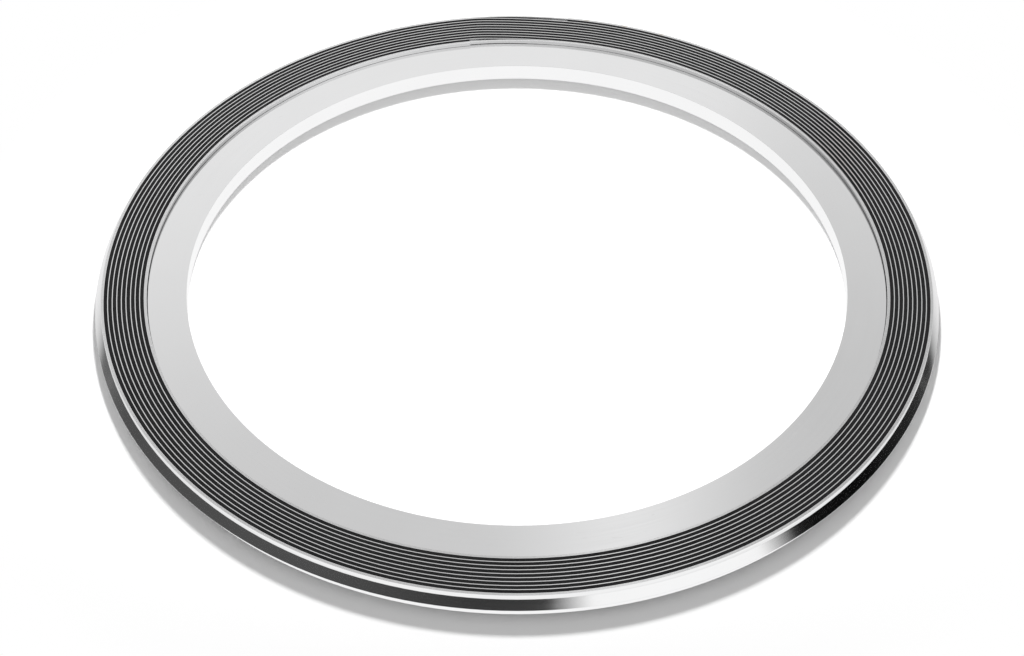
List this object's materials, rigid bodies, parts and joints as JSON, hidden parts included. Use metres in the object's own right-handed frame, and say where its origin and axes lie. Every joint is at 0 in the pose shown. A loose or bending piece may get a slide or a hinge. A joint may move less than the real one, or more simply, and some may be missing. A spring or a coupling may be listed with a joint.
{
  "type": "spiral wound gasket",
  "caption": "Flat round flange gasket: a spiral winding of V-section steel strip and graphite around a solid inner ring, with no outer ring.",
  "frame": {"origin": "centre of the lower sealing face, on the gasket's axis", "axes": "+Z along the gasket's axis, out of the upper sealing face; +Y towards the short climb where every turn steps out onto the one below it"},
  "size_m": [0.1442, 0.1442, 0.0045],
  "materials": {
    "strip_steel": "bright cold-rolled stainless strip, slit edges",
    "graphite": "matt dark grey flexible graphite",
    "ring_steel": "smooth bright stainless plate, turned edges"
  },
  "bodies": {
    "root": {"winding_strip": "strip_steel", "graphite_filler": "graphite", "inner_ring": "ring_steel"}
  },
  "joints": []
}
